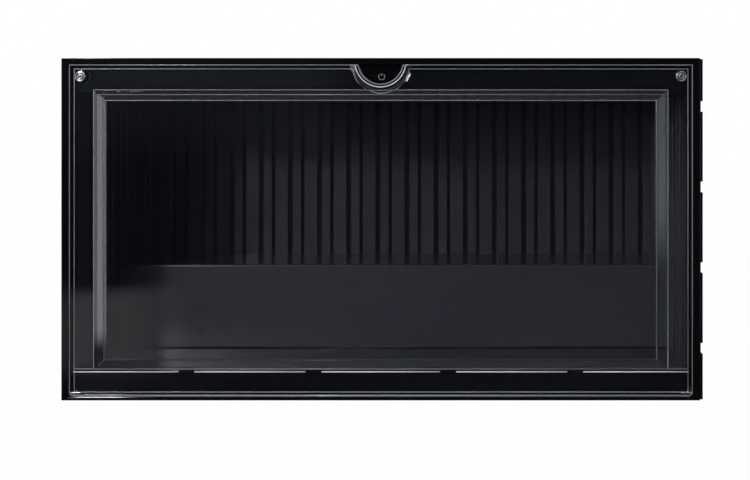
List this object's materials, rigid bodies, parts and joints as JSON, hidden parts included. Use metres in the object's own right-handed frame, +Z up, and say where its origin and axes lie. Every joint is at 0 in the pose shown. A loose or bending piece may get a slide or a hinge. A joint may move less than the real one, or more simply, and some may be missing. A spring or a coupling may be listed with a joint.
{
  "type": "figure display case",
  "caption": "Low black display case for small figures: ribbed cabin with a raised step, light bar and a clear front cover that tips forward on bottom pins.",
  "frame": {"origin": "under the middle of the whole case, on the surface it stands on", "axes": "+X to the right along the case's width as seen from the front, +Y from the clear cover to the back, +Z up"},
  "size_m": [0.345, 0.135, 0.185],
  "materials": {
    "black_shell": "glossy black moulded plastic",
    "cabin_black": "satin-gloss black moulded plastic with a faint blue cast",
    "clear_plastic": "clear polished plastic",
    "button_black": "glossy black with a plain grey power mark",
    "bright_nickel": "nickel plated",
    "pin_steel": "ground steel",
    "screw_steel": "blackened steel",
    "milky_plastic": "milky, light-spreading",
    "circuit_board": "solder-masked board",
    "chip_yellow": "phosphor coated",
    "switch_plastic": "plain moulded",
    "socket_steel": "tin plated",
    "lead_white": "flat white lead",
    "foot_rubber": "matt black rubber"
  },
  "bodies": {
    "case": {"shell": "black_shell", "front_bezel": "black_shell", "joining_strip": "black_shell", "rear_cover": "black_shell", "left_liner": "cabin_black", "right_liner": "cabin_black", "back_liner": "cabin_black", "base_deck": "cabin_black", "ceiling_panel": "cabin_black", "keeper_magnets": "bright_nickel", "switch_screws": "screw_steel", "ceiling_screws": "screw_steel", "deck_screws": "screw_steel", "rear_cover_screws": "screw_steel", "light_diffuser": "milky_plastic", "led_board": "circuit_board", "switch_board": "circuit_board", "control_board": "circuit_board", "led_chips": "chip_yellow", "tact_switch": "switch_plastic", "power_socket": "socket_steel", "lighting_lead": "lead_white", "rubber_feet": "foot_rubber"},
    "cover": {"cover_pane": "clear_plastic", "hinge_pins": "pin_steel", "cover_magnets": "bright_nickel", "cover_magnet_screws": "screw_steel"},
    "power_button": {"power_button": "button_black", "switch_plunger": "switch_plastic"},
    "step": {"step_riser": "cabin_black"}
  },
  "joints": [
    {"name": "cover_hinge", "type": "hinge", "parent": "case", "child": "cover", "pos_m": [-0.0007, -0.0635, 0.0047], "axis": [1, 0, 0], "range_deg": [0, 90]},
    {"name": "power_button_press", "type": "slide", "parent": "case", "child": "power_button", "axis": [0, 1, 0], "range_m": [0, 0.0006], "stiffness_N_per_m": 800, "springref_m": -0.001},
    {"name": "step_lift", "type": "slide", "parent": "case", "child": "step", "axis": [0, 0, 1], "range_m": [0, 0.02]}
  ]
}
